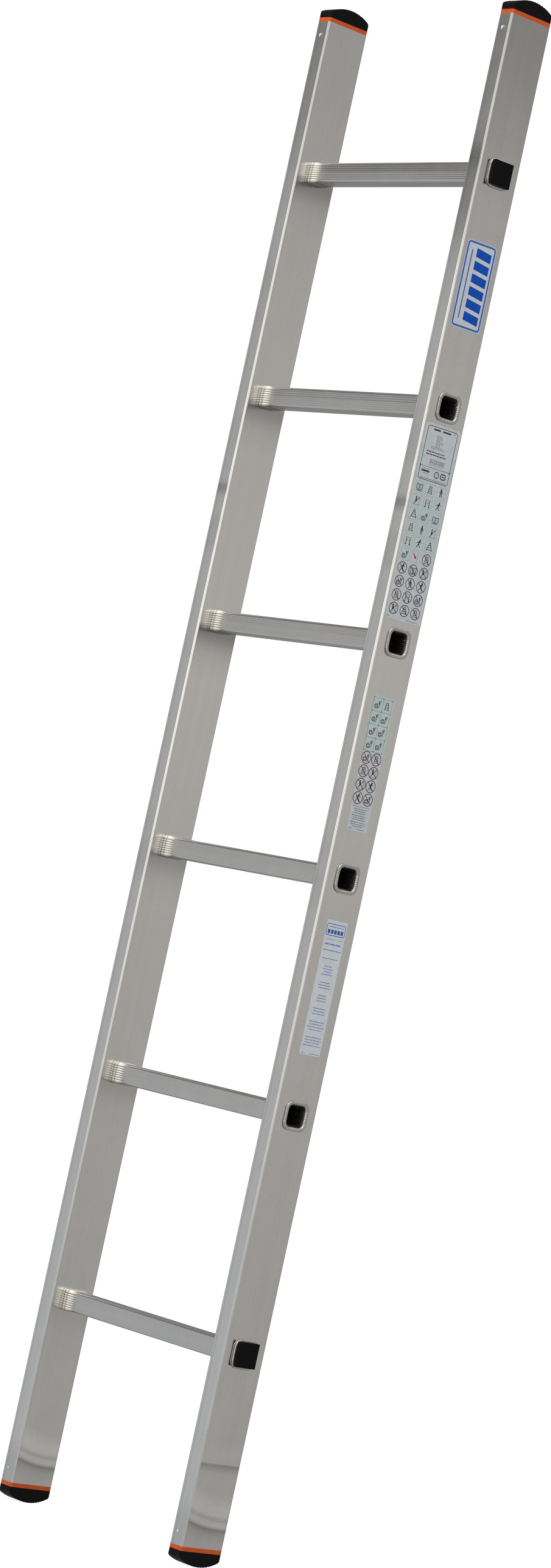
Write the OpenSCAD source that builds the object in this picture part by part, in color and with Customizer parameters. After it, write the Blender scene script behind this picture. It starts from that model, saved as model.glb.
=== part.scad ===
// Straight aluminium leaning ladder: two box stiles, six square rungs crimped through them,
// a two-colour cap on every stile end, push-in plugs in the top and bottom rungs and four labels.
// Millimetres. +Z runs up the stiles, +X along the rungs, +Y to the back.
// The origin is midway between the two feet, on the surface they stand on.

/* [Overall] */
// Width over the outside faces of the stiles
overall_w = 355; // [320:5:420]
// Height of the lowest rung's centre above the ground
first_rung_z = 249; // [240:1:260]
// Distance from one rung's centre to the next
rung_pitch = 280; // [250:5:300]
// Length of each stile extrusion, without its caps
stile_length = 1812; // [1800:1:1830]

/* [Stiles] */
// Depth of a stile, front to back
stile_depth = 62; // [56:1:70]
// Thickness of a stile, side to side
stile_thick = 23; // [20:1:26]
// Wall of the stile extrusion
stile_wall = 1.4; // [1.2:0.1:2]
// Outer corner radius of the stile extrusion
stile_corner = 3; // [2:0.1:4]
// Distance of a staking dimple from the end of the extrusion
dimple_inset = 17.5; // [14:0.5:22]

/* [Rungs] */
// Side of the square rung tube
rung_side = 25; // [24:0.5:27]
// Wall of the rung tube
rung_wall = 1.5; // [1.2:0.1:2]
// Outer corner radius of the rung tube
rung_corner = 3; // [2:0.5:4]
// Grip grooves along each side of a rung
groove_count = 7; // [4:1:7]
// Distance between two grip grooves
groove_pitch = 2.7; // [2:0.1:2.8]
// Width of a grip groove at the surface
groove_w = 1.1; // [0.6:0.1:1.4]
// Depth of a grip groove
groove_depth = 0.3; // [0.2:0.05:0.6]
// Side of the crimped lip outside each stile
lip_side = 35.5; // [33:0.5:38]
// How far the lip stands off the stile
lip_proud = 2.5; // [1.5:0.1:3]

/* [Caps] */
// Height of the coloured band between a stile and its pad
band_h = 5; // [4:0.5:7]
// Height of the pad below its band, at the middle
pad_h = 17; // [15:1:20]
// Radius of the pad's curved sole
sole_radius = 58; // [50:1:80]
// Radius of the sole's front and back edges
sole_edge = 8; // [5:0.5:9]
// How far a cap's shank reaches into the stile
shank_length = 30; // [24:1:40]

/* [Rung plugs] */
// Side of a plug's square head
plug_side = 29.5; // [28:0.5:31]
// Thickness of a plug's head
plug_head = 4.2; // [3:0.1:6]
// Length of the plug's shank in the rung
plug_shank = 18; // [12:1:25]

/* [Labels] */
// Thickness of the label stock
label_t = 0.2; // [0.1:0.1:0.4]

/* [Hidden] */
$fn = 64;

rung_count = 6;
rung_flat = rung_side - 2 * rung_corner;       // flat part of a rung's side
cap_h = band_h + pad_h;                        // whole cap beyond the end of a stile
stile_bottom_z = cap_h;
stile_top_z = cap_h + stile_length;
half_w = overall_w / 2;
stile_x = half_w - stile_thick / 2;            // centre of a stile
inner_x = half_w - stile_thick;                // face of a stile that the rungs meet
hole_gap = 0.1;                                // clearance round a rung in its hole
fit_gap = 0.2;                                 // clearance round a shank
lip_corner = 9.5;
lip_chamfer = 1.2;

// Crimp between a stile and the plain rung, as [distance from the stile, half height]
crimp = [[0, 13.9], [1.6, 13.9], [2.7, 13.1], [4.4, 13.8], [19, 13.2], [23, rung_side / 2 - 0.1]];
crimp_corner = 4;
crimp_side = 28;
crimp_reach = 30;                              // length of the bar that the crimp is cut from
swell_w = 50;                                  // wider than any swell on a rung

dimple_r = 12;                                 // radius of the sphere that the dished dimple follows
dimple_depth = 0.5;

shank_wall = 2;
shank_rib = 2;
shank_corner = 1;
shank_floor = 2;                               // solid part of a shank next to its band
tongue = [12, 44, 3];                          // key that joins a pad to its band
tread_count = 8;
tread_angle = 4;
tread_w = 1.2;
tread_depth = 0.5;

plug_wall = 1.6;
plug_head_corner = 0.8;
plug_shank_corner = 1.2;
plug_bore_corner = 0.6;

// Labels on the outside of the right stile, as [centre y, bottom z, width, height, corner radius]
name_label_at = [-1, 1462.5, 47, 104, 5];
rating_label_at = [0, 1114.5, 55, 232.5, 4];
use_label_at = [-1.3, 865.5, 32, 158.5, 2];
care_label_at = [0.6, 601, 31.5, 158.5, 2];

ALLOY = [0.66, 0.65, 0.63];
ORANGE = [0.80, 0.31, 0.12];
BLACK = [0.07, 0.07, 0.08];
LABEL = [0.74, 0.77, 0.81];

function rung_z(i) = first_rung_z + (i - 1) * rung_pitch;

// Flat outline with true round corners
module rounded_rect(w, h, r) {
    square([w - 2 * r, h], center = true);
    square([w, h - 2 * r], center = true);
    for (sx = [-1, 1], sy = [-1, 1])
        translate([sx * (w / 2 - r), sy * (h / 2 - r)]) circle(r);
}

// A bar with a rounded square section, along X from x0 to x1
module square_bar(x0, x1, side, r) {
    translate([x0, 0, 0]) rotate([90, 0, 90]) linear_extrude(x1 - x0) rounded_rect(side, side, r);
}

// ---- rungs ----

// One side of the rung's section: the corner before it, then its grooves, turned to face one way
function rung_face(turn) = [
    for (p = concat(
        [for (a = [0:15:90]) [
            rung_flat / 2 + rung_corner * sin(a),
            -rung_flat / 2 - rung_corner * cos(a)]],
        [for (i = [0:groove_count - 1], k = [-1, 0, 1]) [
            rung_side / 2 - (k == 0 ? groove_depth : 0),
            (i - (groove_count - 1) / 2) * groove_pitch + k * groove_w / 2]]
    )) [p[0] * cos(turn) - p[1] * sin(turn), p[0] * sin(turn) + p[1] * cos(turn)]
];

module rung_section() {
    polygon([for (turn = [0:90:270]) each rung_face(turn)]);
}

// Square-section body whose half height follows the points of profile along X
module square_swell(profile) {
    outline = concat([for (p = profile) [p[0], p[1]]],
                     [for (i = [len(profile) - 1:-1:0]) [profile[i][0], -profile[i][1]]]);
    intersection() {
        rotate([90, 0, 0]) linear_extrude(swell_w, center = true) polygon(outline);
        linear_extrude(swell_w, center = true) polygon(outline);
    }
}

// Crimp and lip at the +X end of a rung
module rung_end() {
    intersection() {
        translate([inner_x, 0, 0]) mirror([1, 0, 0]) square_swell(crimp);
        square_bar(inner_x - crimp_reach, inner_x, crimp_side, crimp_corner);
    }
    intersection() {
        translate([half_w, 0, 0]) square_swell([
            [0, lip_side / 2], [lip_proud - lip_chamfer, lip_side / 2],
            [lip_proud, lip_side / 2 - lip_chamfer]]);
        square_bar(half_w, half_w + lip_proud, lip_side, lip_corner);
    }
}

module rung(i) {
    reach = half_w + lip_proud;
    color(ALLOY)
    translate([0, 0, rung_z(i)])
    difference() {
        union() {
            translate([-reach, 0, 0]) rotate([90, 0, 90]) linear_extrude(2 * reach) rung_section();
            rung_end();
            mirror([1, 0, 0]) rung_end();
        }
        square_bar(-reach - 1, reach + 1, rung_side - 2 * rung_wall, rung_corner - rung_wall);
    }
}

// ---- stiles ----

module dimple(z) {
    translate([0, -stile_depth / 2 - dimple_r + dimple_depth, z]) sphere(dimple_r, $fn = 256);
}

module stile(side) {
    color(ALLOY)
    difference() {
        translate([side * stile_x, 0, stile_bottom_z])
        difference() {
            linear_extrude(stile_length) rounded_rect(stile_thick, stile_depth, stile_corner);
            translate([0, 0, -1]) linear_extrude(stile_length + 2)
                rounded_rect(stile_thick - 2 * stile_wall, stile_depth - 2 * stile_wall,
                             stile_corner - stile_wall);
            dimple(dimple_inset);
            dimple(stile_length - dimple_inset);
        }
        for (i = [1:rung_count])
            translate([0, 0, rung_z(i)])
                square_bar(side * stile_x - stile_thick, side * stile_x + stile_thick,
                           rung_side + 2 * hole_gap, rung_corner + hole_gap);
    }
}

// ---- caps, drawn for a foot: the stile's end is at z = cap_h ----

module cap_band() {
    shank_t = stile_thick - 2 * stile_wall - 2 * fit_gap;
    shank_d = stile_depth - 2 * stile_wall - 2 * fit_gap;
    pocket_d = (shank_d - 2 * shank_wall - shank_rib) / 2;
    color(ORANGE)
    difference() {
        union() {
            translate([0, 0, pad_h]) linear_extrude(band_h)
                rounded_rect(stile_thick, stile_depth, stile_corner);
            translate([0, 0, cap_h]) linear_extrude(shank_length)
                rounded_rect(shank_t, shank_d, shank_corner);
        }
        // two pockets, open at the top of the shank, with a rib between them
        for (s = [-1, 1])
            translate([-shank_t / 2 + shank_wall,
                       s * (shank_rib + pocket_d) / 2 - pocket_d / 2, cap_h + shank_floor])
                cube([shank_t - 2 * shank_wall, pocket_d, shank_length]);
        translate([-tongue[0] / 2, -tongue[1] / 2, pad_h - 1])
            cube([tongue[0], tongue[1], tongue[2] + 1]);
    }
}

// Front-to-back outline of the sole, from the ground at z = 0 to the band
module sole_outline() {
    edge_y = stile_depth / 2 - sole_edge;
    reach = sole_radius - sole_edge;
    edge_z = sole_radius - sqrt(reach * reach - edge_y * edge_y);
    tangent_y = edge_y * sole_radius / reach;
    intersection() {
        translate([0, sole_radius]) circle(sole_radius, $fn = 256);
        translate([-tangent_y, 0]) square([2 * tangent_y, pad_h]);
    }
    translate([-stile_depth / 2, edge_z]) square([stile_depth, pad_h - edge_z]);
    for (s = [-1, 1]) translate([s * edge_y, edge_z]) circle(sole_edge);
}

module cap_pad() {
    color(BLACK)
    difference() {
        intersection() {
            rotate([90, 0, 90]) linear_extrude(stile_thick, center = true) sole_outline();
            linear_extrude(pad_h) rounded_rect(stile_thick, stile_depth, stile_corner);
        }
        for (i = [0:tread_count - 1])
            translate([0, 0, sole_radius])
            rotate([(i - (tread_count - 1) / 2) * tread_angle, 0, 0])
            translate([0, 0, -sole_radius])
                cube([stile_thick + 2, tread_w, 2 * tread_depth], center = true);
    }
    color(BLACK)
    translate([-tongue[0] / 2, -tongue[1] / 2, pad_h - 0.01])
        cube([tongue[0], tongue[1], tongue[2] + 0.01]);
}

// Puts a foot's part at the given side, at the foot (end = 0) or the head (end = 1)
module at_stile_end(side, end) {
    translate([side * stile_x, 0, end * (stile_top_z + cap_h)])
    mirror([0, 0, end]) children();
}

// ---- plugs ----

module plug(side, i) {
    shank_side = rung_side - 2 * rung_wall - 2 * fit_gap;
    color(BLACK)
    translate([0, 0, rung_z(i)])
    mirror([side < 0 ? 1 : 0, 0, 0])
    translate([half_w + lip_proud, 0, 0])
    difference() {
        union() {
            square_bar(0, plug_head, plug_side, plug_head_corner);
            square_bar(-plug_shank, 0.01, shank_side, plug_shank_corner);
        }
        square_bar(-plug_shank - 1, -1, shank_side - 2 * plug_wall, plug_bore_corner);
    }
}

// ---- labels ----

module label(at) {
    color(LABEL)
    translate([half_w, at[0], at[1] + at[3] / 2])
    rotate([90, 0, 90]) linear_extrude(label_t) rounded_rect(at[2], at[3], at[4]);
}

stile(-1);  // left_stile
stile(1);  // right_stile
rung(1);  // rung_1
rung(2);  // rung_2
rung(3);  // rung_3
rung(4);  // rung_4
rung(5);  // rung_5
rung(6);  // rung_6
at_stile_end(-1, 0) cap_band();  // foot_cap_left
at_stile_end(1, 0) cap_band();  // foot_cap_right
at_stile_end(-1, 1) cap_band();  // head_cap_left
at_stile_end(1, 1) cap_band();  // head_cap_right
at_stile_end(-1, 0) cap_pad();  // foot_pad_left
at_stile_end(1, 0) cap_pad();  // foot_pad_right
at_stile_end(-1, 1) cap_pad();  // head_pad_left
at_stile_end(1, 1) cap_pad();  // head_pad_right
plug(-1, 1);  // bottom_plug_left
plug(1, 1);  // bottom_plug_right
plug(-1, 6);  // top_plug_left
plug(1, 6);  // top_plug_right
label(name_label_at);  // name_label
label(rating_label_at);  // rating_label
label(use_label_at);  // use_label
label(care_label_at);  // care_label
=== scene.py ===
"""Looks of the aluminium leaning ladder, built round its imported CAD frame.

Frame: +Z up the stiles, +X along the rungs towards the labelled stile, +Y to the back.
Shapes are worked out in millimetres and written to meshes in metres.
"""
import math
import random

import bpy
from mathutils import Matrix, Vector


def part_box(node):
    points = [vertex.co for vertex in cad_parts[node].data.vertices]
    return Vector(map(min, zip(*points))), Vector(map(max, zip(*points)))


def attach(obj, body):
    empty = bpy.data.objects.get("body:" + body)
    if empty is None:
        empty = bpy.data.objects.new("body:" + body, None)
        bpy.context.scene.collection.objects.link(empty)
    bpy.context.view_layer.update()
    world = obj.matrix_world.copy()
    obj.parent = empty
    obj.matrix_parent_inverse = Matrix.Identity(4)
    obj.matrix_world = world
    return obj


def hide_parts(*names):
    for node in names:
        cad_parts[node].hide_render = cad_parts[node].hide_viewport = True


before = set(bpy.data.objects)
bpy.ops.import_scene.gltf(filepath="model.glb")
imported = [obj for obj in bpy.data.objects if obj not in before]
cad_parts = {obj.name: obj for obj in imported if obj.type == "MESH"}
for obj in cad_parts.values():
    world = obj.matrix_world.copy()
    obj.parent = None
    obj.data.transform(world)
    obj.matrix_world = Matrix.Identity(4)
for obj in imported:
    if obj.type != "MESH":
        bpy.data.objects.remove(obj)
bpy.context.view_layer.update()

MM = 0.001


def mm_box(node):
    """Lowest and highest corner of a CAD node, in millimetres."""
    low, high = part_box(node)
    return low / MM, high / MM


def rung_height(node):
    """Height of the middle of a rung."""
    low, high = mm_box(node)
    return (low.z + high.z) / 2


stile_low, stile_high = mm_box("right_stile")
HALF_W = stile_high.x                     # outer face of a stile
INNER_X = stile_low.x                     # face of a stile that the rungs meet
RUNGS = sorted(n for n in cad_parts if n.startswith("rung_"))
FIRST_RUNG = rung_height(RUNGS[0])
RUNG_PITCH = rung_height(RUNGS[1]) - FIRST_RUNG


# ---------------------------------------------------------------- camera

CAMERA_AT = (4.120, -3.399, 0.665)        # metres
CAMERA_AZIMUTH = 50.375                   # degrees the view turns from +Y towards -X
CAMERA_RISE = 2.578                       # degrees the view looks up
CAMERA_ROLL = 12.212                      # degrees clockwise
LENS = 103.34                             # millimetres, like the sensor's width
SENSOR = 36
VIEW_DEPTH = 200                          # metres


def add_camera():
    azimuth, rise, roll = (math.radians(a) for a in (CAMERA_AZIMUTH, CAMERA_RISE, CAMERA_ROLL))
    forward = Vector((-math.sin(azimuth) * math.cos(rise), math.cos(azimuth) * math.cos(rise),
                      math.sin(rise)))
    level = forward.cross(Vector((0, 0, 1))).normalized()
    upright = level.cross(forward)
    right = level * math.cos(roll) + upright * math.sin(roll)
    up = upright * math.cos(roll) - level * math.sin(roll)
    data = bpy.data.cameras.new("camera")
    data.lens = LENS
    data.sensor_width = SENSOR
    data.clip_end = VIEW_DEPTH
    camera = bpy.data.objects.new("camera", data)
    camera.matrix_world = (Matrix.Translation(CAMERA_AT)
                           @ Matrix((right, up, -forward)).transposed().to_4x4())
    bpy.context.scene.collection.objects.link(camera)
    bpy.context.scene.camera = camera


# ---------------------------------------------------------------- node helpers

class Nodes:
    """A node tree, with short ways to add the nodes that the materials and the studio share."""

    def __init__(self, tree):
        self.nodes = tree.nodes
        self.links = tree.links

    def feed(self, socket, value):
        """Gives a socket a number, a colour or the output of another node."""
        if isinstance(value, bpy.types.NodeSocket):
            self.links.new(value, socket)
        elif isinstance(value, tuple):
            socket.default_value = (*value, 1)
        else:
            socket.default_value = value

    def parts(self, vector):
        """The X, Y and Z of a vector."""
        node = self.nodes.new("ShaderNodeSeparateXYZ")
        self.feed(node.inputs["Vector"], vector)
        return node.outputs[:]

    def math(self, operation, first, second=0.0):
        node = self.nodes.new("ShaderNodeMath")
        node.operation = operation
        self.feed(node.inputs[0], first)
        self.feed(node.inputs[1], second)
        return node.outputs["Value"]

    def times(self, first, second):
        return self.math("MULTIPLY", first, second)

    def total(self, *values):
        """The sum of several values."""
        result = values[0]
        for value in values[1:]:
            result = self.math("ADD", result, value)
        return result

    def blended(self, *pairs):
        """The sum of values, each times its weight."""
        return self.total(*(self.times(value, weight) for value, weight in pairs))

    def ranged(self, value, low, high, to_low, to_high):
        """A value taken from one range to another and kept inside it."""
        node = self.nodes.new("ShaderNodeMapRange")
        self.feed(node.inputs["Value"], value)
        for socket, number in zip(("From Min", "From Max", "To Min", "To Max"),
                                  (low, high, to_low, to_high)):
            node.inputs[socket].default_value = number
        return node.outputs["Result"]

    def mix(self, factor, first, second, blend="MIX"):
        """Two colours mixed, added or multiplied."""
        node = self.nodes.new("ShaderNodeMix")
        node.data_type = "RGBA"
        node.blend_type = blend
        colours = [socket for socket in node.inputs if socket.type == "RGBA"]
        for socket, value in zip((node.inputs["Factor"], *colours), (factor, first, second)):
            self.feed(socket, value)
        return next(socket for socket in node.outputs if socket.type == "RGBA")

    def ramp(self, value, stops, scale=1.0):
        """A colour that follows stops, each (input, grey or colour), with even blends between them."""
        node = self.nodes.new("ShaderNodeValToRGB")
        self.feed(node.inputs["Fac"], value)
        while len(node.color_ramp.elements) < len(stops):
            node.color_ramp.elements.new(0.5)
        for element, (at, tone) in zip(node.color_ramp.elements, stops):
            colour = tone if isinstance(tone, tuple) else (tone, tone, tone)
            element.position = at
            element.color = (*(c * scale for c in colour), 1)
        return node.outputs["Color"]


class Material(Nodes):
    """A new material on a Principled shader, with patterns that follow the object's own axes."""

    def __init__(self, name, roughness=0.5, metallic=0.0, specular=0.5):
        self.material = bpy.data.materials.new(name)
        self.material.use_nodes = True
        super().__init__(self.material.node_tree)
        self.shader = self.nodes["Principled BSDF"]
        self.shader.inputs["Roughness"].default_value = roughness
        self.shader.inputs["Metallic"].default_value = metallic
        self.shader.inputs["Specular IOR Level"].default_value = specular
        coordinates = self.nodes.new("ShaderNodeTexCoord")
        self.place = coordinates.outputs["Object"]
        self.normal = coordinates.outputs["Normal"]

    def place_scaled(self, scales):
        """The place on the object with each axis scaled."""
        node = self.nodes.new("ShaderNodeMapping")
        node.inputs["Scale"].default_value = scales
        self.feed(node.inputs["Vector"], self.place)
        return node.outputs["Vector"]

    def noise(self, scale, detail=3.0, rough=0.55, stretch=(1, 1, 1)):
        """Noise, 0 to 1, with features about 1/scale metres across, stretched along each axis."""
        node = self.nodes.new("ShaderNodeTexNoise")
        node.inputs["Scale"].default_value = 1
        node.inputs["Detail"].default_value = detail
        node.inputs["Roughness"].default_value = rough
        self.feed(node.inputs["Vector"], self.place_scaled([scale / s for s in stretch]))
        return node.outputs["Fac"]

    def specks(self, scale, radius, flat=None):
        """1 inside round dots with soft rims, about one in each 1/scale metres. They are drawn out
        along the axis flat, if one is given."""
        node = self.nodes.new("ShaderNodeTexVoronoi")
        node.inputs["Scale"].default_value = scale
        squash = [0.01 if i == flat else 1.0 for i in range(3)]
        self.feed(node.inputs["Vector"], self.place_scaled(squash))
        rim = radius * scale
        return self.ranged(node.outputs["Distance"], rim / 2, rim, 1, 0)

    def curve(self, value, stops):
        """A value that follows stops, each (input, output), with straight lines between them."""
        node = self.nodes.new("ShaderNodeFloatCurve")
        low, high = stops[0][0], stops[-1][0]
        curve = node.mapping.curves[0]
        while len(curve.points) < len(stops):
            curve.points.new(0.5, 0.5)
        for point, (at, out) in zip(curve.points, stops):
            point.location = ((at - low) / (high - low), (out + 1) / 2)
            point.handle_type = "VECTOR"
        node.mapping.update()
        self.feed(node.inputs["Value"], self.ranged(value, low, high, 0, 1))
        return self.ranged(node.outputs["Value"], 0, 1, -1, 1)

    def colour(self, value):
        self.feed(self.shader.inputs["Base Color"], value)

    def shaded_colour(self, colour, shade):
        """Sets a colour made lighter or darker by a shade round 1."""
        node = self.nodes.new("ShaderNodeVectorMath")
        node.operation = "SCALE"
        self.feed(node.inputs["Vector"], colour)
        self.feed(node.inputs["Scale"], shade)
        self.colour(node.outputs["Vector"])

    def roughness(self, value):
        self.feed(self.shader.inputs["Roughness"], value)

    def bump(self, height, distance):
        """Bump, with the depth that height 1 stands for in millimetres."""
        node = self.nodes.new("ShaderNodeBump")
        node.inputs["Distance"].default_value = distance * MM
        self.feed(node.inputs["Height"], height)
        self.feed(self.shader.inputs["Normal"], node.outputs["Normal"])


# ---------------------------------------------------------------- materials

NOISE_SPREAD = (0.3, 0.7)                 # nearly all of a noise lies between these
FINE_REACH, BROAD_REACH = 400.0, 90.0     # length over width of the die lines and of the streaks
X, Z = 0, 2                               # axes that the extrusions run along


def toned(base, factor):
    """A colour made lighter or darker."""
    return tuple(min(1.0, c * factor) for c in base)


def aluminium(name, base, along, gloss, metallic=1.0, marks=None):
    """Mill-finish extrusion: die lines and broad streaks along one axis, cloudy tone and fine grain.
    marks is a function of the material that gives how much lighter or darker it is, round 1, with real
    marks and painted light and shade together."""
    m = Material(name, metallic=metallic)
    fine, broad = ([reach if i == along else 1.0 for i in range(3)] for reach in (FINE_REACH, BROAD_REACH))
    lines = m.noise(900, detail=2, stretch=fine)
    streaks = m.noise(110, detail=2, stretch=broad)
    clouds = m.noise(30, detail=5)
    grain = m.noise(420, detail=3)
    tone = m.blended((lines, 0.15), (streaks, 0.25), (clouds, 0.25), (grain, 0.35))
    colour = m.mix(m.ranged(tone, *NOISE_SPREAD, 0, 1), toned(base, 0.94), toned(base, 1.06))
    if marks:
        m.shaded_colour(colour, marks(m))
    else:
        m.colour(colour)
    wear = m.blended((lines, 0.4), (clouds, 0.6))
    m.roughness(m.ranged(wear, *NOISE_SPREAD, gloss - 0.02, gloss + 0.03))
    m.bump(m.blended((lines, 0.5), (grain, 0.5)), 0.006)
    return m.material


# Painted shadow on the inside walls under each rung, as shade by distance in millimetres below the middle
# of the rung, and how strong it is at the height of each rung
RUNG_SHADOW = (
    (5, 0), (10, -0.50), (13, -0.53), (18, -0.50), (24, -0.42), (30, -0.30), (40, -0.14),
    (50, -0.08), (60, -0.04), (75, 0),
)
RUNG_SHADOW_STRENGTH = [(rung_height(rung), strength)
                  for rung, strength in zip(RUNGS, (0.24, 0.42, 0.65, 1.0, 0.74, 0.8))]
# A painted reflection, as an arc of shade across the wide faces of the foot, and a knock above it on the
# right stile:
# height of its lowest point, radius, middle across the stile, and shade by distance below it
FOOT_REFLECTION_ARC = (44.8, 166, 21, (
    (-40, 0), (-24, 0.18), (-16, 0.17), (-12.4, -0.05), (-10, -0.09), (-8, 0.10), (-4, 0.12),
    (-1.6, -0.1), (0.6, -0.45), (4, -0.29), (8, -0.17), (16, -0.09), (24, -0.06),
))
FOOT_REFLECTION_TOP = 200                       # the arc is only on the foot, below this height
KNOCK_ARC = (119, 1400, 0, (
    (-30, 0), (-14, 0.05), (-2, 0.02), (0, -0.36), (2.5, -0.26), (9, -0.03), (14, 0),
))
RIGHT_HEAD_REFLECTION = (1600, 1800, 0, -0.26)        # painted darker reflection on the right stile, growing from one height to the other
DENT_SHADE = -0.45
FLECK_SHADE = 3.5
# Marks on the fronts of the stiles, as shade by height: dull feet and marks where straps went round
# both, and a painted reflection at each one's head
STRAP_MARKS = (
    (20, -0.13), (52, -0.13), (78, 0), (760, 0), (774, -0.08), (800, -0.10), (815, -0.03),
    (838, -0.06), (860, 0), (1168, 0), (1177, -0.09), (1211, -0.09), (1217, 0), (1238, -0.02),
    (1244, -0.24), (1248, -0.36), (1253, -0.36), (1258, -0.04), (1262, 0), (1290, 0), (1303, -0.06),
    (1330, -0.05), (1345, 0),
)
HEAD_REFLECTION_RIGHT = (
    (1330, 0), (1400, 0.08), (1520, 0.11), (1555, 0), (1575, -0.10), (1600, -0.22), (1642, -0.25),
    (1651, -0.36), (1660, -0.44), (1670, -0.35), (1682, -0.10), (1695, -0.02), (1710, 0),
)
HEAD_REFLECTION_LEFT = ((1515, 0), (1550, 0.13), (1642, 0.14), (1655, 0.05), (1680, 0.06), (1700, 0))
# Shade across the front of both stiles, by distance from its left edge: lighter near the edge, then a
# darker band
ACROSS_FRONT = ((1.5, 0), (3, 0.04), (4.2, -0.05), (5, -0.11), (6.5, -0.10), (7.6, -0.02), (8.5, 0))
FACING = 0.9                              # a face's normal is at least this far along an axis


def mm_place(m):
    """X, Y and Z on the object, in millimetres."""
    return [m.times(part, 1 / MM) for part in m.parts(m.place)]


def arc_shade(m, y, z, height, radius, middle, stops):
    """Shade by the distance below an arc that curves up to both sides."""
    off_y = m.math("SUBTRACT", y, middle)
    off_z = m.math("SUBTRACT", z, height + radius)
    span = m.math("SQRT", m.total(m.math("POWER", off_y, 2.0), m.math("POWER", off_z, 2.0)))
    return m.curve(m.math("SUBTRACT", span, radius), stops)


def wide_marks_and_painted_light(m, x, y, z, right):
    """Small dents, a painted reflection across the foot and a painted shadow under the rungs, and on the
    right stile a knock and a painted darker reflection at the head."""
    dents = m.times(m.specks(17, 0.9 * MM, flat=X), DENT_SHADE)
    # painted reflection: an arc of shade across the wide faces of the foot
    foot_reflection = m.times(arc_shade(m, y, z, *FOOT_REFLECTION_ARC), m.math("LESS_THAN", z, FOOT_REFLECTION_TOP))
    knock = m.times(arc_shade(m, y, z, *KNOCK_ARC), right)
    # painted darker reflection towards the head of the right stile
    head = m.times(m.ranged(z, *RIGHT_HEAD_REFLECTION), right)
    inner = m.math("LESS_THAN", m.math("ABSOLUTE", x), (INNER_X + HALF_W) / 2)
    below = m.math("FLOORED_MODULO", m.math("SUBTRACT", FIRST_RUNG, z), RUNG_PITCH)
    # painted shadow under each rung on the inside walls, darkest just below the rung
    rung_shadow = m.times(m.times(m.curve(below, RUNG_SHADOW), m.curve(z, RUNG_SHADOW_STRENGTH)), inner)
    return m.total(dents, foot_reflection, knock, head, rung_shadow)


def front_marks_and_painted_reflection(m, x, z, right):
    """Strap marks, a darker band across the front and painted reflections at the heads."""
    left = m.math("SUBTRACT", 1.0, right)
    across = m.math("SUBTRACT", x, m.ranged(right, 0, 1, -HALF_W, INNER_X))
    # the curves by height at the heads are painted reflections
    return m.total(m.curve(z, STRAP_MARKS), m.curve(across, ACROSS_FRONT),
                   m.times(m.curve(z, HEAD_REFLECTION_RIGHT), right), m.times(m.curve(z, HEAD_REFLECTION_LEFT), left))


def stile_marks_and_painted_light(m):
    """Marks, painted shadow and painted reflections on the wide faces and the front faces of both stiles.
    """
    x, y, z = mm_place(m)
    across, back, _ = m.parts(m.normal)
    right = m.math("GREATER_THAN", x, 0.0)
    wide = m.math("GREATER_THAN", m.math("ABSOLUTE", across), FACING)
    front = m.math("LESS_THAN", back, -FACING)
    return m.total(m.times(wide_marks_and_painted_light(m, x, y, z, right), wide),
                   m.times(front_marks_and_painted_reflection(m, x, z, right), front), 1.0)


# Painted light and shade on the crimp by distance from the stile: painted shade at the wall, a bead,
# painted shade at the neck, then ribs painted bright as highlights that fade
CRIMP_PAINTED_LIGHT = (
    (0, -0.36), (0.8, -0.24), (2.2, 0), (3.4, -0.05), (4.8, -0.42), (6.0, -0.30), (7.4, 0),
    (12, -0.04), (15, -0.16), (18, -0.36), (21, -0.54),
)
UNDERSIDE_SHADE = 0.5                           # painted shade: how bright the crimp's underside is beside its sides


def crimp_painted_light(m):
    """Painted shade at the crimp's wall end, neck, far end and underside, over ribs painted bright as
    highlights.
    """
    from_stile = m.math("SUBTRACT", INNER_X, m.math("ABSOLUTE", mm_place(m)[0]))
    # the underside is darker: painted shade
    under = m.ranged(m.parts(m.normal)[2], -0.8, -0.4, UNDERSIDE_SHADE, 1.0)
    return m.times(m.total(m.curve(from_stile, CRIMP_PAINTED_LIGHT), 1.0), under)


def bore_flecks(m):
    """Bright flecks scattered over the painted shade inside the tube."""
    return m.total(m.times(m.specks(260, 1.1 * MM), FLECK_SHADE), 1.0)


def moulded(name, base, roughness, fade, grain=0.02, specular=0.5):
    """Moulded plastic or rubber: fine grain, cloudy fading and scuffs a little lighter than it."""
    m = Material(name, roughness=roughness, specular=specular)
    clouds = m.ranged(m.noise(90, detail=4), 0.35, 0.75, 0, 1)
    scuffs = m.ranged(m.noise(420, detail=3, rough=0.7), 0.58, 0.75, 0, 0.6)
    m.colour(m.mix(scuffs, m.mix(clouds, base, toned(base, 0.8)), fade))
    fine = m.noise(3200, detail=2)
    m.roughness(m.ranged(m.total(fine, scuffs), 0.3, 1.2, roughness - 0.06, roughness + 0.12))
    m.bump(fine, grain)
    return m.material


def printed(name, base, roughness=0.42, specular=0.5):
    """Ink or film on a label: nearly even, with a faint cloudiness and a satin skin."""
    m = Material(name, roughness=roughness, specular=specular)
    clouds = m.ranged(m.noise(140, detail=3), *NOISE_SPREAD, 0, 1)
    m.colour(m.mix(clouds, toned(base, 0.94), toned(base, 1.05)))
    m.roughness(m.ranged(m.noise(900, detail=2), *NOISE_SPREAD, roughness - 0.05, roughness + 0.06))
    m.bump(m.noise(700, detail=1), 0.004)
    return m.material


# the stiles' colour carries painted shadow and painted reflections besides real marks
STILE_ALLOY = aluminium("stile_alloy", (0.71, 0.705, 0.69), Z, 0.17, marks=stile_marks_and_painted_light)
RUNG_ALLOY = aluminium("rung_alloy", (0.62, 0.61, 0.595), X, 0.19)
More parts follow.
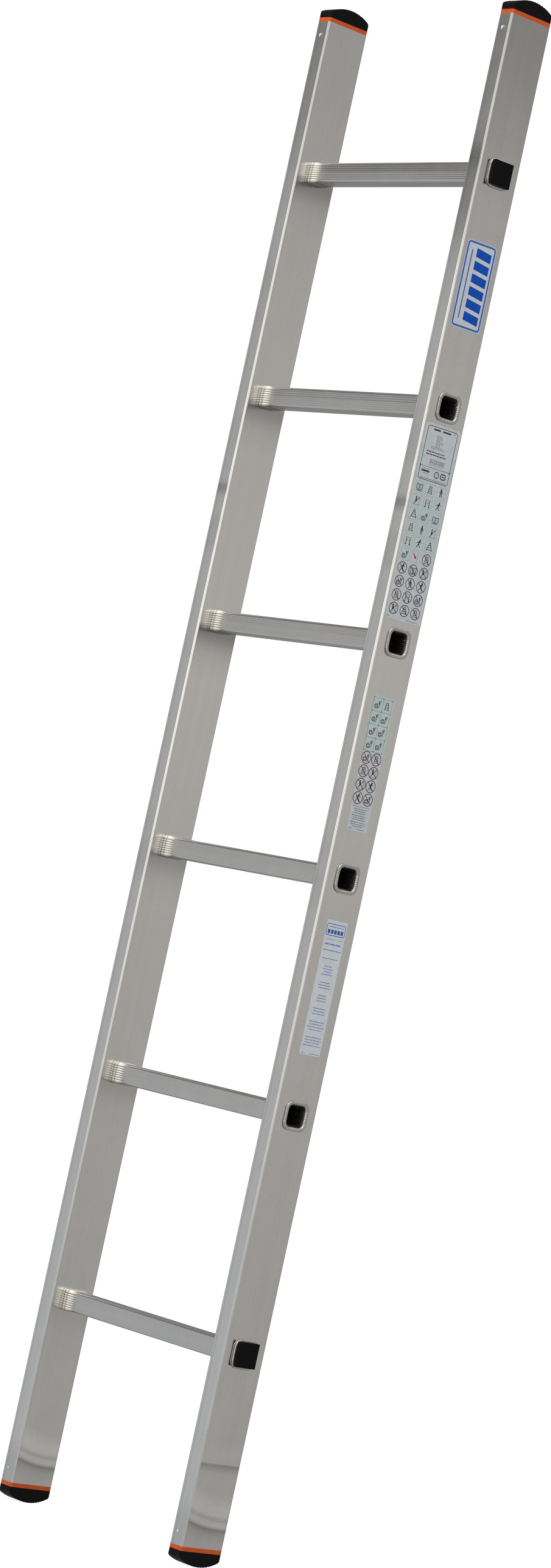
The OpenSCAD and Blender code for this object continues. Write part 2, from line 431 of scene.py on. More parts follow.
# darker floors of the grooves: painted shade
GROOVE_SHADE_ALLOY = aluminium("groove_painted_shade", (0.59, 0.58, 0.56), X, 0.20)
# crimp ribs painted bright, standing in for highlights; the clamping leaves them rougher
RIDGE_HIGHLIGHT_ALLOY = aluminium("crimp_ridges_painted_highlight", (0.96, 0.93, 0.86), X, 0.36, metallic=0.72, marks=crimp_painted_light)
# dark valleys of the crimp: painted shade
VALLEY_SHADE_ALLOY = aluminium("crimp_valleys_painted_shade", (0.26, 0.24, 0.20), X, 0.45, metallic=0.8)
LIP_ALLOY = aluminium("lip_alloy", (0.54, 0.535, 0.515), Z, 0.40)
# dark inside of the tube: painted shade
BORE_SHADE_ALLOY = aluminium("bore_painted_shade", (0.16, 0.155, 0.145), X, 0.42, marks=bore_flecks)
# dark rim of the lip: painted shadow
RIM_SHADOW_ALLOY = aluminium("lip_rim_painted_shadow", (0.20, 0.195, 0.185), Z, 0.5, metallic=0.8)
BAND = moulded("cap_band_plastic", (0.44, 0.062, 0.007), 0.45, (0.50, 0.10, 0.025), specular=0.28)
PAD = moulded("cap_pad_rubber", (0.0022, 0.0023, 0.0025), 0.5, (0.009, 0.0095, 0.010), grain=0.05,
              specular=0.10)
PLUG = moulded("plug_plastic", (0.0018, 0.0018, 0.0022), 0.42, (0.006, 0.006, 0.006), specular=0.09)
FILM = printed("label_film", (0.39, 0.415, 0.45))
FILM_GREEN = printed("label_film_green", (0.375, 0.41, 0.425))
FILM_PALE = printed("label_film_pale", (0.44, 0.47, 0.50))
INKS = {
    "blue": printed("ink_blue", (0.002, 0.052, 0.32), specular=0.12),
    "soft_blue": printed("ink_soft_blue", (0.024, 0.078, 0.30), specular=0.3),
    "pale_blue": printed("ink_pale_blue", (0.31, 0.37, 0.48)),
    "faded_blue": printed("ink_faded_blue", (0.12, 0.18, 0.36)),
    "grey": printed("ink_grey", (0.16, 0.175, 0.20)),
    "dark": printed("ink_dark", (0.035, 0.037, 0.05), specular=0.3),
    "green": printed("ink_green", (0.17, 0.36, 0.26)),
    "maroon": printed("ink_maroon", (0.10, 0.035, 0.05), specular=0.3),
    "red": printed("ink_red", (0.42, 0.035, 0.045)),
}


# ---------------------------------------------------------------- meshes

def add_mesh(name, points, faces, material, smooth=True):
    """A piece on the ladder's one body, from points in millimetres."""
    mesh = bpy.data.meshes.new(name)
    mesh.from_pydata([Vector(p) * MM for p in points], [], faces)
    mesh.update()
    if smooth:
        mesh.shade_smooth()
    mesh.materials.append(material)
    piece = bpy.data.objects.new(name, mesh)
    bpy.context.scene.collection.objects.link(piece)
    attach(piece, "root")
    return piece


# ---------------------------------------------------------------- rungs

RUNG_HALF = 12.5                          # half the side of the square tube, at its crown
RUNG_FLAT = 9.5                           # half the flat part of a side
RUNG_CORNER = 3.0
CROWN = 0.2                               # how far the middle of a side stands above its edges
GROOVES = 7
GROOVE_PITCH = 2.7
GROOVE_HALF_W = 0.7
GROOVE_FLOOR = 0.4                        # half width of a groove's floor, which gets painted shade
GROOVE_DEPTH = 0.025
ACROSS_GROOVE = (-1, -0.5, 0, 0.5, 1)     # points across a groove, in its half widths
ACROSS_RIB = (0.36, 0.5, 0.64)            # points from one groove to the next, in pitches
RIB_DEPTH = 0.4                           # depth between the ribs of the crimp
VALLEY_HALF_W = 0.36
BORE_HALF = 11.0
BORE_CORNER = 1.5
CORNER_STEPS = 6
SHARP_EDGE = 50                           # degrees from which an edge stays crisp

# Crimp against the inside of the stile: distance from it, half side, corner radius, swell of the ribs
CRIMP = (
    (22.6, 12.5, 3.0, 0.0), (20.0, 12.55, 3.0, 0.4), (16.5, 12.7, 3.1, 0.8), (13.0, 12.95, 3.2, 1.0),
    (10.5, 13.25, 3.5, 1.0), (8.5, 13.5, 3.7, 1.0), (7.2, 13.55, 3.8, 0.9), (6.2, 13.45, 3.8, 0.8),
    (5.0, 13.35, 3.7, 0.7), (4.2, 13.4, 3.7, 0.7), (3.2, 13.6, 3.8, 0.8), (2.2, 13.7, 4.0, 0.9),
    (1.2, 13.6, 3.9, 0.8), (0.5, 13.4, 3.8, 0.7), (0.05, 13.2, 3.7, 0.6),
)
CLAMPED = 21.0                            # the crimp is clamped up to here, and its ribs are painted bright as highlights
# Rolled lip outside the stile: distance from its face, half side, corner radius, swell of the ribs
LIP = (
    (0.02, 17.3, 9.3, 0.0), (0.6, 17.55, 9.4, 0.2), (1.3, 17.6, 9.4, 0.5), (1.9, 17.45, 9.2, 0.8),
    (2.25, 17.1, 9.0, 1.0), (2.4, 16.5, 8.5, 1.0), (2.45, 15.7, 7.8, 0.9), (2.4, 15.0, 7.1, 0.8),
    (2.2, 14.2, 6.3, 0.8), (1.7, 13.5, 5.6, 0.8), (0.8, 12.9, 5.0, 0.6), (-0.6, 12.25, 4.3, 0.3),
    (-3.0, 11.6, 3.2, 0.1), (-8.0, BORE_HALF, BORE_CORNER, 0.0),
)
RIM = 0.5                                 # the rim of the lip is in its own shadow up to here
MOUTH_HALF = 13.2                         # inside this the tube gets painted shade
TUBE_IN_STILE = (12.55, RUNG_CORNER, 0.0) # half side, corner radius and swell between crimp and lip
IN_STILE = (INNER_X + 0.3, HALF_W - 0.3)  # where the plain tube starts and ends inside a stile
# groove, valley, rim and bore are dark as painted shade; ridge is painted bright as highlights
RUNG_LOOKS = {
    "tube": RUNG_ALLOY, "groove": GROOVE_SHADE_ALLOY, "ridge": RIDGE_HIGHLIGHT_ALLOY, "valley": VALLEY_SHADE_ALLOY,
    "lip": LIP_ALLOY, "rim": RIM_SHADOW_ALLOY, "bore": BORE_SHADE_ALLOY,
}


def groove_offsets():
    """Where a side's points lie across its flat part, from -1 to 1."""
    spots = []
    for i in range(GROOVES):
        centre = (i - (GROOVES - 1) / 2) * GROOVE_PITCH
        spots += [centre + k * GROOVE_HALF_W for k in ACROSS_GROOVE]
        if i < GROOVES - 1:
            spots += [centre + k * GROOVE_PITCH for k in ACROSS_RIB]
    return [spot / RUNG_FLAT for spot in spots]


OFFSETS = groove_offsets()
SIDE_POINTS = len(OFFSETS) + CORNER_STEPS + 1


def off_groove(offset):
    """Distance across a side from the nearest groove's middle."""
    across = abs(offset) * RUNG_FLAT / GROOVE_PITCH
    return abs(across - min(round(across), (GROOVES - 1) // 2)) * GROOVE_PITCH


def groove_depth(offset, swell):
    """Depth of the grooves at a place across a side, from plain tube (0) to the ribs of a crimp (1)."""
    near = off_groove(offset)
    plain = GROOVE_DEPTH * max(0.0, 1 - near / GROOVE_HALF_W)
    arch = RIB_DEPTH * max(0.0, 1 - 2 * near / GROOVE_PITCH) ** 2
    return plain * (1 - swell) + arch * swell


def rung_ring(x, half, corner, swell, lean):
    """One closed ring of points round a rung at x. lean is the profile's normal, as (x, radial)."""
    edge = half - CROWN
    flat = edge - corner
    side = [(offset * flat, edge + CROWN * (1 - abs(offset)), groove_depth(offset, swell))
            for offset in OFFSETS]
    for i in range(CORNER_STEPS + 1):
        angle = i * math.pi / 2 / CORNER_STEPS
        side.append((flat + corner * math.sin(angle), flat + corner * math.cos(angle), 0.0))
    ring = []
    for turn in range(4):
        cosine, sine = math.cos(turn * math.pi / 2), math.sin(turn * math.pi / 2)
        for across, out, depth in side:
            sunk = out - depth * lean[1]
            ring.append((x - depth * lean[0], across * cosine + sunk * sine, sunk * cosine - across * sine))
    return ring


def lip_zone(proud, half):
    """The look of the lip at a distance from the outside of the stile."""
    if half < MOUTH_HALF:
        return "bore"
    return "rim" if proud < RIM else "lip"


def rung_path():
    """Stations from the middle of a rung to its end, then back through the bore and round by the
    other half, each as (zone, x, half side, corner radius, swell)."""
    out = [("tube" if off > CLAMPED else "ridge", INNER_X - off, *shape) for off, *shape in CRIMP]
    out += [("tube", x, *TUBE_IN_STILE) for x in IN_STILE]
    out += [(lip_zone(proud, shape[0]), HALF_W + proud, *shape) for proud, *shape in LIP]
    back = [(out[i - 1][0] if i else "tube", -x, *shape)
            for i, (_, x, *shape) in reversed(list(enumerate(out)))]
    middle = ("tube", 0.0, RUNG_HALF, RUNG_CORNER, 0.0)
    bore = ("bore", 0.0, BORE_HALF, BORE_CORNER, 0.0)
    return [middle] + out + [bore] + back


def face_zone(zone, point):
    """The look of the face that starts at a point of a ring: the floors of grooves and valleys get painted
    shade.
    """
    floors = {"tube": ("groove", GROOVE_FLOOR), "ridge": ("valley", VALLEY_HALF_W)}
    k = point % SIDE_POINTS
    if zone not in floors or k + 1 >= len(OFFSETS):
        return zone
    look, half_w = floors[zone]
    return look if off_groove((OFFSETS[k] + OFFSETS[k + 1]) / 2) < half_w else zone


def add_rung(node):
    """A closed tube lofted along its path, in place of the CAD rung."""
    height = rung_height(node)
    path = rung_path()
    rings = []
    for i, (_, x, half, corner, swell) in enumerate(path):
        before, after = path[i - 1], path[(i + 1) % len(path)]
        along = Vector((after[1] - before[1], after[2] - before[2])).normalized()
        ring = rung_ring(x, half, corner, swell, (-along.y, along.x))
        rings.append([(px, py, pz + height) for px, py, pz in ring])
    size = len(rings[0])
    zones = list(RUNG_LOOKS)
    faces, looks = [], []
    for i, (zone, *_) in enumerate(path):
        a, b = i * size, (i + 1) % len(rings) * size
        faces += [(a + k, a + (k + 1) % size, b + (k + 1) % size, b + k) for k in range(size)]
        looks += [zones.index(face_zone(zone, k)) for k in range(size)]
    points = [point for ring in rings for point in ring]
    piece = add_mesh(node + "_tube", points, faces, RUNG_ALLOY)
    for material in list(RUNG_LOOKS.values())[1:]:
        piece.data.materials.append(material)
    piece.data.polygons.foreach_set("material_index", looks)
    piece.data.set_sharp_from_angle(angle=math.radians(SHARP_EDGE))
    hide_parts(node)


# ---------------------------------------------------------------- labels

class Ink:
    """Flat marks on one label, in millimetres: u runs to the back and v up the stile."""

    LIFT = 0.05                           # how far the ink stands off the film

    def __init__(self, node, seed=0):
        low, high = mm_box(node)
        self.node = node
        self.face = high.x
        self.u = (low.y + high.y) / 2     # middle of the label's width
        self.v = (low.z + high.z) / 2     # middle of its height
        self.top = high.z
        self.bottom = low.z
        self.width = high.y - low.y
        self.height = high.z - low.z
        self.random = random.Random(seed)
        self.marks = {}

    def fill(self, colour, outline):
        """One filled convex outline."""
        points, faces = self.marks.setdefault(colour, ([], []))
        start, n = len(points), len(outline)
        for x in (self.face - self.LIFT, self.face + self.LIFT):
            points += [(x, u, v) for u, v in outline]
        faces.append(tuple(start + n + i for i in range(n)))
        faces.append(tuple(start + i for i in reversed(range(n))))
        faces += [(start + i, start + (i + 1) % n, start + n + (i + 1) % n, start + n + i)
                  for i in range(n)]

    def band(self, colour, outer, inner):
        """The closed band between two outlines with the same number of points."""
        points, faces = self.marks.setdefault(colour, ([], []))
        start, n = len(points), len(outer)
        low, high = self.face - self.LIFT, self.face + self.LIFT
        for x, outline in ((high, outer), (high, inner), (low, inner), (low, outer)):
            points += [(x, u, v) for u, v in outline]
        for i in range(n):
            j = (i + 1) % n
            faces += [(start + k * n + i, start + k * n + j,
                       start + (k + 1) % 4 * n + j, start + (k + 1) % 4 * n + i) for k in range(4)]

    def bar(self, colour, u, v, width, height):
        a, b = width / 2, height / 2
        self.fill(colour, [(u - a, v - b), (u + a, v - b), (u + a, v + b), (u - a, v + b)])

    def stroke(self, colour, start, end, width):
        along = (Vector(end) - Vector(start)).normalized()
        off = Vector((-along.y, along.x)) * width / 2
        corners = [Vector(start) - off, Vector(end) - off, Vector(end) + off, Vector(start) + off]
        self.fill(colour, [tuple(corner) for corner in corners])

    def disc(self, colour, u, v, radius, steps=20):
        self.fill(colour, circle(u, v, radius, steps))

    def ring(self, colour, u, v, radius, width, steps=28):
        self.band(colour, circle(u, v, radius, steps), circle(u, v, radius - width, steps))

    def frame(self, colour, u, v, width, height, corner, line):
        self.band(colour, rounded(u, v, width, height, corner),
                  rounded(u, v, width - 2 * line, height - 2 * line, max(corner - line, 0.1)))

    def text_line(self, colour, u, v, width, height, centred=True):
        """A greeked line: plain dashes of word length, with no lettering."""
        at = u - width / 2 if centred else u
        end = at + width
        size = max(height, 0.8)
        while at < end - 0.8:
            word = min(self.random.uniform(1.8, 5.0) * size, end - at)
            self.bar(colour, at + word / 2, v, word, height)
            at += word + 0.6 * size

    def finish(self):
        for colour, (points, faces) in self.marks.items():
            add_mesh(f"{self.node}_{colour}", points, faces, INKS[colour], smooth=False)


def circle(u, v, radius, steps):
    angles = [2 * math.pi * i / steps for i in range(steps)]
    return [(u + radius * math.cos(angle), v + radius * math.sin(angle)) for angle in angles]


def rounded(u, v, width, height, corner, steps=5):
    """Outline of a rectangle with round corners, centred at u, v."""
    outline = []
    for turn, (side_u, side_v) in enumerate(((1, 1), (-1, 1), (-1, -1), (1, -1))):
        corner_u = u + side_u * (width / 2 - corner)
        corner_v = v + side_v * (height / 2 - corner)
        for i in range(steps + 1):
            angle = (turn + i / steps) * math.pi / 2
            outline.append((corner_u + corner * math.cos(angle), corner_v + corner * math.sin(angle)))
    return outline




# Small plain pictograms, drawn round u, v at a size of about 10 mm

def steps_sign(ink, u, v):
    """A ladder: two rails that close upwards, and rungs."""
    for side in (-1, 1):
        ink.stroke("dark", (u + side * 3.2, v - 4.8), (u + side * 1.4, v + 4.8), 0.75)
    for k in range(5):
        ink.bar("dark", u, v - 3.8 + 1.9 * k, 5.6 - 0.7 * k, 0.6)


def leaning_sign(ink, u, v):
    """A rail against a wall, and a block on it."""
    ink.bar("grey", u + 4.0, v + 0.2, 0.7, 10.0)
    ink.stroke("dark", (u - 3.6, v - 4.6), (u + 3.6, v + 4.4), 0.9)
    ink.bar("dark", u - 1.2, v + 0.4, 2.0, 4.4)
    ink.disc("dark", u - 1.2, v + 3.8, 1.1, 10)
    ink.bar("grey", u, v - 4.9, 9.4, 0.6)


def book_sign(ink, u, v):
    """An open book."""
    for side in (-1, 1):
        corners = ((0, -3.4), (side * 4.6, -2.4), (side * 4.6, 3.6), (0, 2.6))
        for start, end in zip(corners, corners[1:] + corners[:1]):
            ink.stroke("dark", (u + start[0], v + start[1]), (u + end[0], v + end[1]), 0.75)
        for k in range(3):
            ink.bar("grey", u + side * 2.3, v - 1.4 + 1.5 * k, 2.8, 0.55)
    ink.bar("dark", u, v - 4.4, 9.6, 0.8)


def posts_sign(ink, u, v):
    """Two posts under a beam, on short feet."""
    for side in (-1, 1):
        ink.bar("dark", u + side * 2.8, v - 0.6, 1.0, 7.2)
        ink.bar("dark", u + side * 3.2, v - 4.4, 2.6, 0.9)
    ink.bar("grey", u, v + 3.8, 9.0, 0.8)
    ink.bar("grey", u, v + 0.6, 5.0, 0.6)


def figure_sign(ink, u, v):
    """An upright peg with a round top, two short arms and two legs."""
    ink.disc("dark", u, v + 4.2, 1.2, 12)
    ink.bar("dark", u, v + 0.9, 2.2, 4.2)
    for side in (-1, 1):
        ink.stroke("dark", (u + side * 0.7, v - 0.8), (u + side * 1.5, v - 5.0), 1.0)
        ink.stroke("dark", (u + side * 1.2, v + 2.6), (u + side * 2.6, v - 0.6), 0.7)


def stride_sign(ink, u, v):
    """A leaning peg with a round top and its legs apart."""
    ink.disc("dark", u + 1.2, v + 4.0, 1.2, 12)
    ink.stroke("dark", (u + 0.8, v + 3.2), (u - 0.4, v - 0.8), 1.9)
    for foot_u, foot_v in ((-3.2, -4.8), (2.8, -4.6)):
        ink.stroke("dark", (u - 0.4, v - 0.6), (u + foot_u, v + foot_v), 1.0)
    for hand_u, hand_v in ((-3.4, 0.6), (3.8, 1.4)):
        ink.stroke("dark", (u + 0.6, v + 2.6), (u + hand_u, v + hand_v), 0.75)


def trestle_sign(ink, u, v):
    """An A of two legs with cross bars."""
    for side in (-1, 1):
        ink.stroke("dark", (u + side * 4.4, v - 5.0), (u + side * 0.3, v + 5.2), 0.9)
    for k in range(3):
        ink.bar("dark", u, v - 3.4 + 2.6 * k, 6.6 - 1.9 * k, 0.65)


def load_sign(ink, u, v):
    """A striped round weight beside a leaning rail with a block on it."""
    ink.ring("dark", u - 2.2, v - 2.0, 3.0, 0.8, 16)
    for side in (-1, 1):
        ink.bar("dark", u - 2.2, v - 2.0 + side, 3.8, 0.8)
    ink.stroke("dark", (u + 1.2, v - 4.8), (u + 4.2, v + 4.8), 0.75)
    ink.bar("dark", u + 1.7, v + 2.4, 1.6, 3.4)


def arrow_sign(ink, u, v):
    """A red arrow down to an upright rail."""
    ink.stroke("red", (u - 5.0, v + 3.8), (u - 0.6, v - 0.8), 1.7)
    ink.fill("red", [(u - 2.6, v - 1.4), (u + 0.6, v - 2.4), (u + 0.2, v + 1.6)])
    ink.bar("grey", u + 2.6, v, 0.6, 11)


SIGNS = (book_sign, steps_sign, figure_sign, leaning_sign, posts_sign, stride_sign, trestle_sign, load_sign)


def slashed(ink, u, v, radius, width, sign):
    """A round prohibition sign over one of the pictograms."""
    sign(ink, u, v)
    ink.ring("maroon", u, v, radius, width)
    reach = (radius - width / 2) * math.cos(math.pi / 4)
    ink.stroke("maroon", (u - reach, v + reach), (u + reach, v - reach), width * 0.9)


def name_label():
    """A plain badge: a border, one long line and a row of slanted blocks."""
    ink = Ink("name_label")
    ink.frame("pale_blue", ink.u, ink.v, ink.width, ink.height, 5.0, 1.1)
    ink.frame("soft_blue", ink.u, ink.v, ink.width - 2.8, ink.height - 2.8, 4.3, 2.1)
    ink.bar("soft_blue", ink.u - 13.5, ink.v, 1.6, ink.height - 22)
    blocks, slant, gap = 6, 3.0, 1.7
    inner, outer = ink.u - 6.5, ink.u + 17.0
    pitch = (ink.height - 14) / blocks
    for i in range(blocks):
        low = ink.v + (i - blocks / 2) * pitch + gap / 2
        high = low + pitch - gap - slant
        ink.fill("blue", [(inner, low + slant), (outer, low), (outer, high), (inner, high + slant)])
    ink.finish()


def data_panel(ink):
    """The framed panel of the rating label: title, data lines, weights and bar code above its split,
    and a row of marks below it."""
    u, top = ink.u, ink.top
    middle, split, marks = u - 0.2, top - 50.5, top - 57.3
    ink.frame("dark", middle, top - 34.6, 47.4, 63.6, 3.5, 0.75)
    ink.bar("dark", middle, split, 46.6, 0.5)
    for side in (-1, 1):
        ink.disc("dark", middle + side * 23.4, split, 1.0, 12)
    title = top - 6.4
    ink.bar("dark", u - 9.0, title, 10.8, 2.0)
    ink.bar("dark", u + 6.6, title, 13.0, 2.0)
    ink.disc("grey", u + 18.6, title + 1.0, 0.9, 10)
    short_lines, long_lines = 8, 2
    for i in range(short_lines + long_lines):
        start, shortest, longest = (u - 7, 6, 12) if i < short_lines else (u - 13, 19, 22)
        width = ink.random.uniform(shortest, longest)
        ink.text_line("grey", start, top - 13.0 - 1.68 * i, width, 0.8, centred=False)
    for i, width in enumerate((28, 32)):
        ink.text_line("dark", u - 18.6, top - 32.6 - 3.1 * i, width, 1.2, centred=False)
    at, end = u - 10.4, u + 11.8
    while at < end:
        width = ink.random.choice((0.35, 0.35, 0.6, 0.9))
        ink.bar("grey", at + width / 2, top - 43.4, width, 5.4)
        at += width + ink.random.choice((0.35, 0.5, 0.8))
    ink.text_line("grey", u + 0.6, top - 47.4, 22, 0.7)
    ink.bar("dark", u - 14.0, marks + 1.5, 12.6, 2.2)
    ink.text_line("grey", u - 14.0, marks - 1.3, 10, 0.6)
    ink.text_line("grey", u - 14.0, marks + 4.1, 12, 0.6)
    ink.ring("dark", u + 4.0, marks, 4.1, 1.0)
    ink.ring("grey", u + 4.0, marks, 2.0, 0.5, 16)
    ink.frame("dark", u + 14.2, marks, 8.4, 7.2, 2.2, 1.3)
    ink.bar("dark", u + 14.2, marks, 3.2, 1.4)
    ink.text_line("grey", middle, top - 64.2, 41, 1.1)


def rating_label():
    """Data panel above, three columns of pictograms below."""
    ink = Ink("rating_label", seed=7)
    data_panel(ink)
    column_pitch, row_pitch = 17.1, 16.0
    boxed = (6, 6, 5)                     # how many in each column are in boxes, above the round ones
    for column in range(len(boxed)):
        for row in range(10):
            u = ink.u - 17.5 + column_pitch * column
            v = ink.top - 75.8 - row_pitch * row
            if row >= boxed[column]:
                slashed(ink, u, v, 7.2, 0.95, SIGNS[(2 * row + 3 * column + 1) % len(SIGNS)])
                continue
            ink.frame("green", u, v, 14.2, 14.0, 0.6, 0.45)
            sign = arrow_sign if (column, row) == (1, 5) else SIGNS[(3 * row + column) % len(SIGNS)]
            sign(ink, u, v)
    ink.bar("grey", ink.u - 23.7, ink.bottom + 2.8, 4.6, 0.9)
    ink.text_line("grey", ink.u + 14.2, ink.bottom + 2.4, 16.8, 0.9)
    ink.finish()


def use_label():
    """Green table of pictograms, round signs and greeked lines."""
    ink = Ink("use_label", seed=11)
    u, bottom = ink.u, ink.bottom
    cell_w, cell, rows = 14.4, 15.6, 4
    line, middle, table_top = 1.1, u - 1.0, ink.top - 2.0
    table_end = table_top - cell * rows
    for k in range(rows + 1):
        ink.bar("green", middle, table_top - cell * k, 29.2, line)
    for k in (-1, 0, 1):
        ink.bar("green", middle + k * cell_w, (table_top + table_end) / 2, line, cell * rows + line)
    for k in range(rows):
        for side in (-1, 1):
            sign = SIGNS[(2 * k + side) % len(SIGNS)]
            boxed = load_sign if k else sign
            boxed(ink, middle + side * cell_w / 2, table_top - cell * (k + 0.5))
            slashed(ink, middle + 0.3 + side * 7.8, table_end - 8.2 - 15.9 * k, 7.6, 1.0, sign)
    ink.bar("grey", u - 0.7, bottom + 28.6, 26.8, 0.5)
    for i in range(9):
        paragraph_gaps = 0.7 * (i // 3)
        width = ink.random.uniform(16, 23)
        ink.text_line("grey", u - 0.6, bottom + 25.6 - 2.35 * i - paragraph_gaps, width, 1.05)
    ink.text_line("grey", u - 10.4, bottom + 2.4, 5, 0.9)
    ink.text_line("grey", u + 6.2, bottom + 2.4, 12, 0.9)
    ink.finish()


def care_label():
    """Framed badge above groups of greeked blue lines."""
    ink = Ink("care_label", seed=5)
    u, top, bottom = ink.u, ink.top, ink.bottom
    ink.frame("soft_blue", u - 0.3, top - 11.2, 29.2, 14.0, 2.6, 0.8)
    ink.bar("soft_blue", u - 0.3, top - 7.8, 23, 0.6)
    for i in range(5):
        ink.bar("soft_blue", u - 10.3 + 5.0 * i, top - 13.4, 3.8, 4.8)
    ink.bar("soft_blue", u - 0.4, top - 22.4, 27.6, 0.35)
    for drop, width, height in ((28.0, 25.6, 1.8), (35.0, 27.8, 1.1), (44.8, 24, 0.9)):
        ink.text_line("faded_blue", u, top - drop, width, height)
    line_pitch = 3.2
    for drop, lines, widest in ((53.8, 4, 17), (72.8, 3, 20), (88.2, 3, 15),
                                (103.6, 3, 20), (119.1, 4, 26), (137.6, 4, 26)):
        for i in range(lines):
            width = widest * ink.random.uniform(0.72, 1.0)
            ink.text_line("faded_blue", u + 0.3, top - drop - line_pitch * i, width, 1.0)
    ink.text_line("faded_blue", u - 10.6, bottom + 1.9, 5, 0.8)
    ink.text_line("faded_blue", u + 6.8, bottom + 1.9, 16, 0.8)
    ink.finish()


# ---------------------------------------------------------------- stage

BRIGHTEST = 2.5                           # radiance that a ramp's tone of 1 stands for
DARK_GAP = (0.07, 0.07, 0.067)            # between the walls and the ceiling lamps
# Radiance by azimuth, in degrees from +X towards +Y
WALLS = (
    (-180, (0.55, 0.55, 0.55)), (-158, (0.54, 0.54, 0.54)), (-149, (0.46, 0.465, 0.47)),
    (-138, (0.50, 0.505, 0.51)), (-60, (0.52, 0.52, 0.51)), (0, (0.51, 0.50, 0.49)),
    (40, (0.49, 0.477, 0.46)), (90, (0.44, 0.43, 0.42)), (140, (0.25, 0.25, 0.24)),
    (152, (0.40, 0.40, 0.39)), (180, (0.55, 0.55, 0.55)),
)
SOFT_BOXES = (
    (-134, 0.0), (-126, (1.30, 1.26, 1.21)), (-110, (1.30, 1.26, 1.21)), (-102, (0.40, 0.39, 0.37)),
    (-78, (0.40, 0.39, 0.37)), (-70, (1.30, 1.26, 1.21)), (-60, (1.10, 1.07, 1.02)),
    (-46, (0.62, 0.6, 0.57)), (-18, (0.26, 0.25, 0.24)), (12, 0.0),
)
STUDIO_FLOOR = (
    (-180, 0.5), (-150, (0.52, 0.54, 0.55)), (-138, (0.53, 0.555, 0.565)), (-60, 0.48), (0, 0.44),
    (40, (0.425, 0.415, 0.40)), (90, 0.38), (140, 0.28), (180, 0.5),
)
GLOW = ((-30, 0.0), (10, (0.19, 0.185, 0.175)), (70, (0.19, 0.185, 0.175)), (110, 0.0))
LAMPS_ABOVE = (
    (-180, 0.25), (-125, 0.3), (-105, (2.4, 2.3, 2.1)), (-30, (2.4, 2.3, 2.1)), (0, 0.8), (90, 0.6),
    (140, 0.25), (180, 0.25),
)
# How dark the gap is by azimuth
GAP_SIDE = (
    (-180, 0.5), (-160, 0.8), (-148, 2.4), (-60, 2.2), (-20, 0.9), (60, 0.8), (120, 2.0), (160, 0.6),
    (180, 0.5),
)
# Weight by height above the horizon, in degrees
BOX_HEIGHT = (
    (-6, 0.0), (-4.2, 0.05), (-1.6, 0.3), (1.5, 1.0), (6, 1.0), (8.7, 0.95), (10.3, 0.8), (12, 0.6),
    (18, 0.45),
)
GLOW_HEIGHT = ((0, 0.0), (2.7, 0.1), (3.8, 1.0), (4.6, 0.5), (6, 0.0), (8, 0.2), (12, 0.0))
GAP_HEIGHT = ((8.5, 0.0), (10.2, 0.5), (12, 1.0), (24, 1.0))
FLOOR_HEIGHT = ((-4.5, 1.0), (-0.5, 0.0))
LAMPS_HEIGHT = ((24, 0.0), (30, 0.5), (38, 1.0))

FLOOR_HALF = 90                           # metres
# Soft square lamps: name, place, side in metres, power in watts, colour
LAMPS = (
    ("key_light", (-0.6, -4.2, 3.4), 2.2, 190, (1.0, 0.98, 0.95)),
    ("fill_light", (4.5, 1.0, 3.2), 3.0, 120, (0.97, 0.98, 1.0)),
)
LAMP_AIM = (0, 0, 0.9)                    # the middle of the ladder


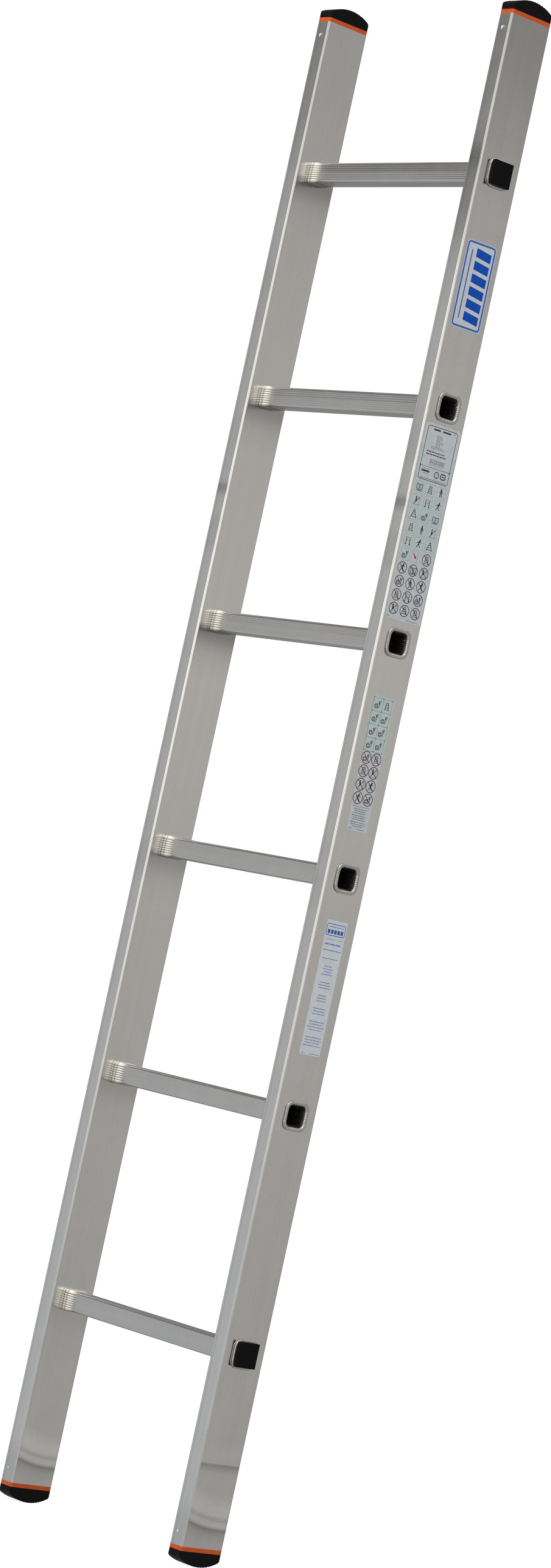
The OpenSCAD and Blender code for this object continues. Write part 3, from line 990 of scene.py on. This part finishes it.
def build_world():
    """White to the eye. Reflections see a grey studio with two tall soft boxes at the front left, a
    faint glow low at the right, a dark gap above head height and bright ceiling lamps over the front."""
    world = bpy.data.worlds.new("studio")
    bpy.context.scene.world = world
    world.use_nodes = True
    world.node_tree.nodes.clear()
    m = Nodes(world.node_tree)
    x, y, z = m.parts(m.nodes.new("ShaderNodeTexCoord").outputs["Generated"])
    azimuth = m.total(m.math("DIVIDE", m.math("ARCTAN2", y, x), 2 * math.pi), 0.5)
    lift = m.total(m.times(z, 0.5), 0.5)

    def around(stops):
        return m.ramp(azimuth, [(at / 360 + 0.5, tone) for at, tone in stops], 1 / BRIGHTEST)

    def upward(stops):
        return m.ramp(lift, [((math.sin(math.radians(at)) + 1) / 2, tone) for at, tone in stops])

    gap = m.mix(1.0, around(GAP_SIDE), upward(GAP_HEIGHT), "MULTIPLY")
    room = m.mix(gap, around(WALLS), DARK_GAP)
    for light, height in ((SOFT_BOXES, BOX_HEIGHT), (GLOW, GLOW_HEIGHT)):
        room = m.mix(1.0, room, m.mix(1.0, around(light), upward(height), "MULTIPLY"), "ADD")
    room = m.mix(upward(FLOOR_HEIGHT), room, around(STUDIO_FLOOR))
    room = m.mix(upward(LAMPS_HEIGHT), room, around(LAMPS_ABOVE))
    eye = m.nodes.new("ShaderNodeLightPath").outputs["Is Camera Ray"]
    white = (1 / BRIGHTEST, 1 / BRIGHTEST, 1 / BRIGHTEST)
    background = m.nodes.new("ShaderNodeBackground")
    background.inputs["Strength"].default_value = BRIGHTEST
    m.feed(background.inputs["Color"], m.mix(eye, room, white))
    output = m.nodes.new("ShaderNodeOutputWorld")
    m.feed(output.inputs["Surface"], background.outputs["Background"])


def build_floor():
    """A plain pale floor, seen by the camera only, so that the reflections stay those of the studio."""
    half = FLOOR_HALF
    mesh = bpy.data.meshes.new("floor")
    mesh.from_pydata([(-half, -half, 0), (half, -half, 0), (half, half, 0), (-half, half, 0)],
                     [], [(0, 1, 2, 3)])
    floor = bpy.data.objects.new("floor", mesh)
    bpy.context.scene.collection.objects.link(floor)
    m = Material("floor", roughness=0.9, specular=0.1)
    m.colour((0.14, 0.14, 0.14))
    m.feed(m.shader.inputs["Emission Color"], (1.0, 1.0, 1.0))
    m.feed(m.shader.inputs["Emission Strength"], 0.9)
    mesh.materials.append(m.material)
    floor.visible_diffuse = False
    floor.visible_glossy = False
    floor.visible_transmission = False
    floor.visible_shadow = False


def add_light(name, place, side, power, colour):
    """A lamp aimed at the ladder, which neither the camera nor the reflections see."""
    data = bpy.data.lights.new(name, "AREA")
    data.shape = "SQUARE"
    data.size = side
    data.energy = power
    data.color = colour
    lamp = bpy.data.objects.new(name, data)
    lamp.location = place
    lamp.rotation_euler = (Vector(LAMP_AIM) - Vector(place)).to_track_quat("-Z", "Y").to_euler()
    lamp.visible_camera = False
    lamp.visible_glossy = False
    bpy.context.scene.collection.objects.link(lamp)


# ---------------------------------------------------------------- build

# Looks of the CAD pieces, by a word of the node's name or the whole of it
CAD_LOOKS = {
    "stile": STILE_ALLOY, "cap": BAND, "pad": PAD, "plug": PLUG,
    "name_label": FILM, "rating_label": FILM_GREEN, "use_label": FILM_GREEN, "care_label": FILM_PALE,
}


def dress_cad():
    """Gives the CAD pieces that stay in the picture their materials."""
    for name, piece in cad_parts.items():
        for word, material in CAD_LOOKS.items():
            if word == name or word in name.split("_"):
                piece.data.materials.clear()
                piece.data.materials.append(material)


add_camera()
build_world()
build_floor()
for lamp in LAMPS:
    add_light(*lamp)
for rung in RUNGS:
    add_rung(rung)
dress_cad()
name_label()
rating_label()
use_label()
care_label()

bpy.context.scene.view_settings.view_transform = "Standard"
